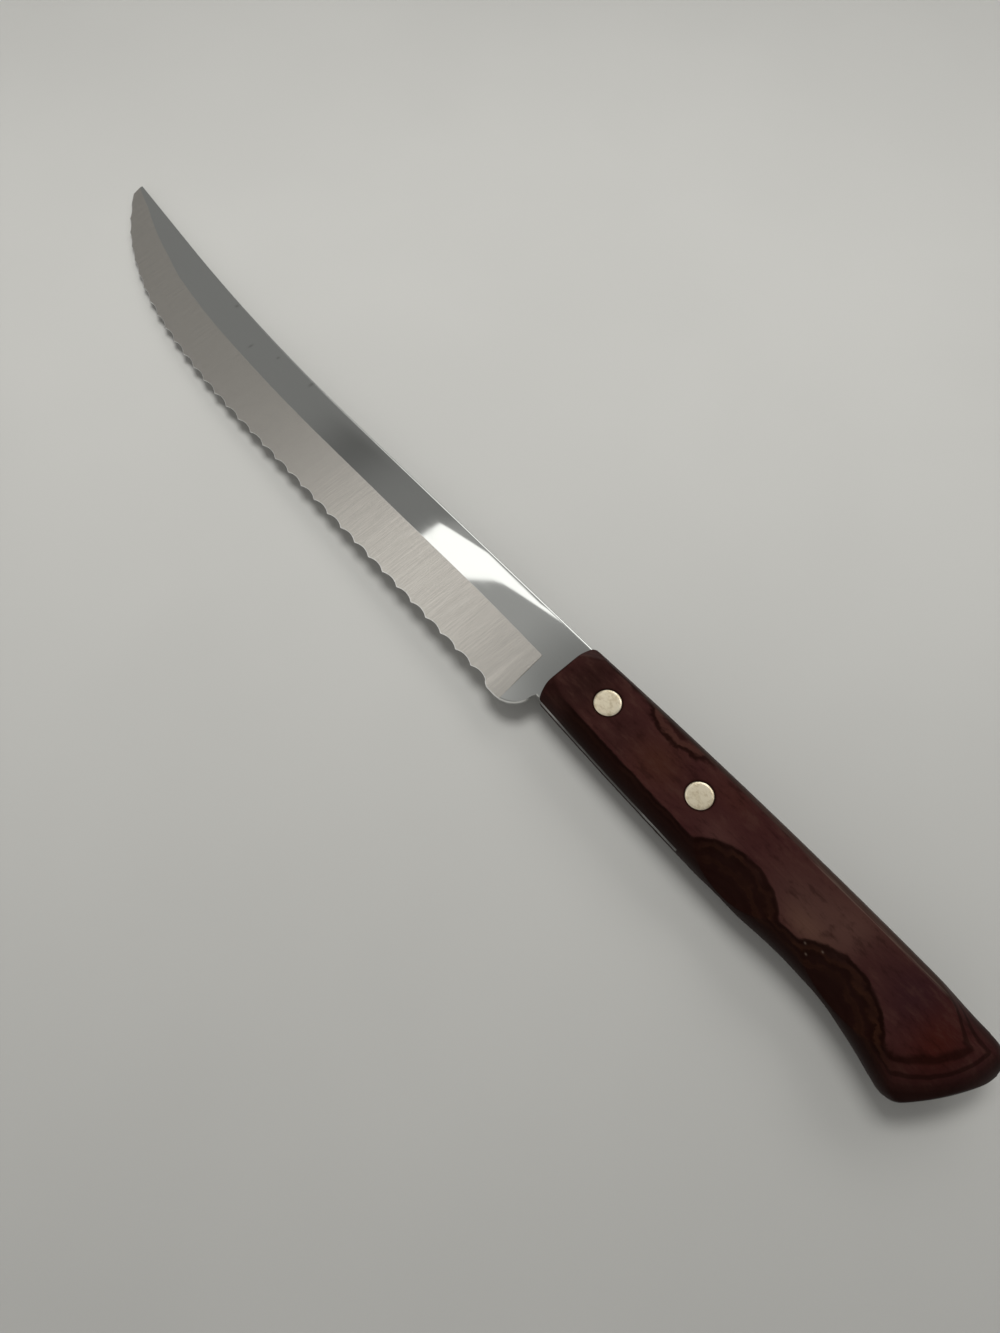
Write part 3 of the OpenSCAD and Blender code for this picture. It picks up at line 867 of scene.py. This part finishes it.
# dyed laminate: plies that show as contour lines where the handle slopes
laminateFinish = {
    "ply": 1.33, "level": 0.66,
    "brown": (0.0390, 0.0133, 0.0118), "plum": (0.0325, 0.0103, 0.0100), "dark": (0.0075, 0.0020, 0.0012),
    # colour patches on the face; the lighter ones, from about x -60 to -20, are painted sheen where the face
    # mirrors the room's brighter zone
    "patchesAndSheen": [
        ((21.0, 0.0), (7.0, 12.0), (0.0150, 0.0065, 0.0050)),
        ((7.0, 3.0), (5.0, 6.0), (0.0250, 0.0090, 0.0080)),
        ((-3.0, 1.5), (6.0, 4.5), (0.0430, 0.0150, 0.0090)),
        ((-20.0, -5.0), (6.0, 3.0), (0.0430, 0.0140, 0.0110)),
        ((-24.0, 4.0), (5.0, 3.0), (0.0580, 0.0250, 0.0215)),
        ((-47.0, 0.0), (10.0, 6.0), (0.0600, 0.0295, 0.0240)),
        ((-55.0, -3.0), (8.0, 7.0), (0.0710, 0.0350, 0.0280)),
        ((-48.0, 3.5), (5.0, 2.5), (0.0840, 0.0430, 0.0310)),
        ((-62.0, -1.0), (4.0, 6.0), (0.0340, 0.0120, 0.0110)),
        ((-72.0, -2.0), (7.0, 7.0), (0.0230, 0.0082, 0.0103)),
        ((-80.0, 1.0), (5.0, 7.0), (0.0380, 0.0068, 0.0040)),
    ],
    # the first two colours are painted sheen along the spine's eased edge, the second for its dimmer front
    # part
    "spineSheen": (0.0450, 0.0320, 0.0260), "spineSheenFront": (0.0210, 0.0185, 0.0150), "pale": (0.1300, 0.0950, 0.0760),
    "chips": [(-51.9, 7.1), (-50.2, 6.0), (-53.8, 4.5)],
    "crescent": (0.0270, 0.0100, 0.0055), "crescents": [(1.25, 0.75), (3.0, 0.5)],  # depth, strength
    "grain": (0.0620, 0.0290, 0.0220),
    "figure": ((0.2, -9.5), (8.5, 12.5, 5.3)), "figureLight": (0.0520, 0.0220, 0.0160),
    "rough": 0.36, "gloss": 0.02, "bump": 0.04,
    # where stretches fade in or out along x
    "front": (17.0, 22.0), "end": (-80.0, -72.0), "stripEnd": (8.0, 14.0), "scoopEnd": (-26.0, -20.0),
    "arcFrom": (-17.0, -7.0), "spineSheenFrontFrom": (-30.0, -5.0), "creaseEnd": (-44.0, -36.0),
    # and across the handle, below its face and round a rivet, with the reach of a chip
    "belly": (-4.0, 5.0), "spine": (-5.0, -3.0), "crease": (0.0, 0.08, 0.12, 0.4),
    "chip": (0.28, 0.16), "rivetShadeAndDirt": (3.25, 3.9),
}


def makeLaminate():
    f = laminateFinish
    material, net = startMaterial("dyed laminate")
    place = net.place()
    x, y, z = net.split(place)
    depth = midZ - abs(z - midZ)
    sway = net.noise(place, (0.05, 0.10, 0.05), 2.0, 0.5) - 0.5
    wobble = net.noise(place, (0.28, 0.42, 0.2), 3.0, 0.55) - 0.5
    front = x.rise(*f["front"])
    end = 1 - x.rise(*f["end"])
    below = depth.rise(0.02, 0.4) * y.rise(*f["belly"]) * (1 - 0.6 * front)
    cut = below * (1 - end)
    spine = (1 - y.rise(*f["spine"])) * (1 - end)
    strip = depth.rise(0.04, 0.25) * spine * (1 - x.rise(*f["stripEnd"]))
    level = (depth + sway * 0.35 + wobble * (0.12 + 2.0 * cut + 0.3 * end)) / f["ply"] + f["level"]
    phase = level.math("FRACT")
    patchy = net.noise(place, (0.16, 0.16, 0.16), 2.0, 0.5).rise(0.42, 0.6)
    line = (abs(phase - 0.5) * 2 + wobble * 0.9 * (1 - end)).rise(0.42, 0.8) * (1 - 0.7 * front)
    line = line * (1 - cut * 0.5 * patchy) * (1 - cut * 0.6 * depth.rise(0.8, 2.4)) * (1 - strip)
    line = line * (1 - end * 0.8 * depth.rise(2.0, 2.6))
    tint = net.node("ShaderNodeTexWhiteNoise", {"noise_dimensions": "1D"}, {"W": level.math("FLOOR")})
    mottle = net.noise(place, (0.09, 0.13, 0.08), 4.0, 0.6)
    tone = net.mix(mottle.rise(0.36, 0.64), f["brown"], f["plum"])
    # colour patches, the lighter ones painted sheen on the face
    for centre, reach, colour in f["patchesAndSheen"]:
        tone = net.mix(net.spot(x, y, centre, reach) * 0.85, tone, colour)
    tone = net.mix(tint * 0.25, tone, f["plum"])
    fibre = net.noise(place, (0.10, 2.2, 2.2), 4.0, 0.6)
    tone = net.mix(fibre.rise(0.5, 0.85) * 0.3, tone, f["dark"])
    grain = net.noise(place, (0.20, 0.55, 0.3), 5.0, 0.62)
    tone = net.mix(grain.rise(0.48, 0.72) * 0.35, tone, f["grain"])
    tone = net.mix((1 - grain.rise(0.30, 0.48)) * 0.4, tone, f["dark"])
    # painted shade: the belly side under the face, which turns away from the light, is darkened, and at the
    # butt end so are its deeper, steeper parts
    tone = net.mix(cut * 0.88 + end * (below * 0.2 + depth.rise(1.6, 4.5) * 0.6), tone, f["dark"])
    scooped = cut * (1 - 0.6 * patchy) * (1 - 0.8 * x.rise(*f["scoopEnd"]))
    for under, strength in f["crescents"]:
        crescent = scooped * (1 - abs(depth - under + wobble * 3).rise(0.15, 0.75))
        tone = net.mix(crescent * strength, tone, f["crescent"])
    tone = net.mix(line * (0.85 - 0.2 * end), tone, f["dark"])
    (figureX, figureY), (aheadX, behindX, reachY) = f["figure"]
    across = ((x - figureX) / aheadX).math("MAXIMUM", (figureX - x) / behindX)
    along = (y - figureY) / reachY
    away = (across * across + along * along).math("SQRT") + wobble * 0.7
    band = (1 - away.rise(0.86, 0.95)) * away.rise(0.55, 0.7)
    tone = net.mix(band * 0.5, tone, f["figureLight"])
    arc = (1 - abs(away - 0.97).rise(0.03, 0.17)) * x.rise(*f["arcFrom"])
    heart = (1 - away.rise(0.5, 0.68)) * 0.6
    tone = net.mix((arc * 0.85).math("MAXIMUM", heart) * (1 - strip), tone, f["dark"])
    # painted sheen: a grey strip along the spine's eased edge, dimmer towards the front
    spineSheen = net.mix(x.rise(*f["spineSheenFrontFrom"]), f["spineSheen"], f["spineSheenFront"])
    tone = net.mix(strip * 0.6, tone, spineSheen)
    # painted highlight: a pale line along the crease where the face meets the spine's eased edge, behind
    # about x -40; the same pale colour also marks the real chips below
    crease = depth.between(*f["crease"]) * spine * (1 - x.rise(*f["creaseEnd"]))
    tone = net.mix(crease * fibre.rise(0.35, 0.6) * 0.5, tone, f["pale"])
    for centre in f["chips"]:
        tone = net.mix(net.spot(x, y, centre, f["chip"]) * 0.6, tone, f["pale"])
    for rivet in rivetX:  # a darker ring round each rivet: painted shade of the thin gap round its head, and dirt
        away = ((x - rivet) * (x - rivet) + y * y).math("SQRT")
        tone = net.mix((1 - away.rise(*f["rivetShadeAndDirt"])) * 0.8, tone, f["dark"])
    rough = f["rough"] + (mottle - 0.5) * 0.12 + fibre.rise(0.5, 0.8) * 0.06
    bump = net.bump(f["bump"], fibre - line * 0.4)
    endMaterial(net, {"Base Color": tone, "Roughness": rough, "Specular IOR Level": f["gloss"],
                      "Normal": bump})
    return material


laminate = makeLaminate()
handle.data.materials.clear()
handle.data.materials.append(laminate)
print("finishes done")

for piece, nodes, slot in (
    (blade, ["blade"], "steel"),
    (handle, ["handle"], "laminate"),
    (rivets, ["rivet_front_tube", "rivet_front_pin", "rivet_rear_tube", "rivet_rear_pin"], "nickel_silver"),
):
    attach(piece, "root")
    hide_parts(*nodes)

# the table: the knife rests on the front of its handle and on its tip
tableShape = {
    "restX": 26.0, "bladeFrom": frontX + 20, "gap": 0.03, "half": 4000.0,
    "colour": (0.48, 0.481, 0.468), "shade": 0.97, "rough": 0.55, "gloss": 0.25,
}


def makeTable():
    t = tableShape
    ahead = np.array([point.co for point in blade.data.vertices]) / mm
    ahead = ahead[ahead[:, 0] > t["bladeFrom"]]
    slope = (ahead[:, 2] / (ahead[:, 0] - t["restX"])).min()
    corners = [(sx * t["half"], sy * t["half"]) for sx, sy in ((-1, -1), (1, -1), (1, 1), (-1, 1))]
    points = [(x, y, (x - t["restX"]) * slope - t["gap"]) for x, y in corners]
    table = addPiece("table", points, [(0, 1, 2, 3)])
    material, net = startMaterial("pale table")
    place = net.place()
    cloud = net.noise(place, (0.012, 0.012, 0.012), 3.0, 0.5)
    tone = net.mix(cloud.rise(0.3, 0.7), t["colour"], tuple(c * t["shade"] for c in t["colour"]))
    endMaterial(net, {"Base Color": tone, "Roughness": t["rough"], "Specular IOR Level": t["gloss"]})
    table.data.materials.append(material)
    return table


makeTable()


def aim(thing, place):
    at = Vector(place["at"]) * mm
    thing.location = at
    thing.rotation_euler = (Vector(place["towards"]) * mm - at).to_track_quat("-Z", "Y").to_euler()
    bpy.context.scene.collection.objects.link(thing)


# camera as in the photograph, its focal length in pixels
cameraPlace = {
    "at": (-32.9, 73.5, 223.5), "towards": (42.0, 8.0, 0.0), "focal": 1000.0, "image": (1000, 1333),
    "sensor": 36.0, "clip": 10.0,
}


def makeCamera():
    c = cameraPlace
    lens = bpy.data.cameras.new("camera")
    lens.sensor_width = c["sensor"]
    lens.lens = c["focal"] / max(c["image"]) * c["sensor"]
    lens.clip_start = c["clip"] * mm
    camera = bpy.data.objects.new("camera", lens)
    aim(camera, c)
    bpy.context.scene.camera = camera


makeCamera()

# soft room light, written as it is seen mirrored in the steel: across and along over up
room = {
    "dim": 0.27, "bright": 1.12, "lamp": 1.8, "window": 2.0, "fill": 0.45, "colour": (1.0, 0.985, 0.95),
    "horizon": 0.06, "overhead": (0.5, 0.72),  # the ceiling's marks stay off the plain walls
    "beam": 0.2, "beamAcross": (0.27, 0.37, 0.5, 0.54),
    "shade": 0.1, "shadeAt": ((0.67, -0.36), (0.05, 0.08)),
    "glowAcross": (0.2, 0.55, 0.5, 0.68), "glowAlong": (-0.33, -0.26, 0.3, 0.8),
    "windowAcross": (-0.5, -0.2, 0.7, 1.2), "windowAlong": (-2.0, -1.6, -0.9, -0.7), "fillFrom": (0.3, 0.8),
    # the lamp's straight sides, each a point and the way in, and its foot, which drops along a tail
    "lampSides": [((0.441, -0.337), (0.711, -0.703)), ((0.52, 0.0), (-1.0, 0.0)),
                  ((0.525, -0.36), (-0.754, 0.656))],
    "lampFoot": -0.432, "tailFrom": 0.37, "tailSlope": 0.95, "lampSoft": 0.003,
}


def makeRoom():
    r = room
    world = bpy.data.worlds.new("room")
    world.use_nodes = True
    bpy.context.scene.world = world
    net = Net(world.node_tree)
    direction = net.node("ShaderNodeTexCoord", {}, {}, "Generated")
    x, y, z = net.split(direction)
    up = z.math("MAXIMUM", r["horizon"])
    u, v = x / up, y / up
    ceiling = r["beam"] * u.between(*r["beamAcross"]) - r["shade"] * net.spot(u, v, *r["shadeAt"])
    wall = r["dim"] + ceiling * z.rise(*r["overhead"])
    glow = u.between(*r["glowAcross"]) * v.between(*r["glowAlong"])
    level = wall + (r["bright"] - wall) * glow
    window = u.between(*r["windowAcross"]) * v.between(*r["windowAlong"])
    level = level + r["window"] * window + r["fill"] * y.rise(*r["fillFrom"])
    soft = r["lampSoft"]
    tail = (r["tailFrom"] - u).math("MAXIMUM", 0.0) * r["tailSlope"]
    lamp = (v - r["lampFoot"] + tail).rise(-soft, soft)
    for (sideU, sideV), (inU, inV) in r["lampSides"]:
        lamp = lamp * ((u - sideU) * inU + (v - sideV) * inV).rise(-soft, soft)
    level = level + (r["lamp"] - level) * lamp
    back = net.node("ShaderNodeBackground", {}, {"Color": (*r["colour"], 1.0), "Strength": level})
    net.node("ShaderNodeOutputWorld", {}, {"Surface": back})


makeRoom()

# key light, a wide soft lamp above
keyLight = {
    "at": (215.0, -143.0, 750.0), "towards": (125.0, -60.0, 0.0), "colour": (1.0, 0.99, 0.96),
    "radius": 190.0, "wide": 2.4, "cone": 43.0, "blend": 0.75, "power": 16.8,
}


def makeKey():
    k = keyLight
    lamp = bpy.data.lights.new("key", "SPOT")
    lamp.shadow_soft_size = k["radius"] * mm
    lamp.spot_size = math.radians(k["cone"])
    lamp.spot_blend = k["blend"]
    lamp.energy = k["power"]
    lamp.color = k["colour"]
    key = bpy.data.objects.new("key", lamp)
    aim(key, k)
    key.scale = (k["wide"], 1.0, 1.0)
    key.visible_glossy = False


makeKey()
bpy.context.scene.view_settings.view_transform = "Standard"

print("scene ready")
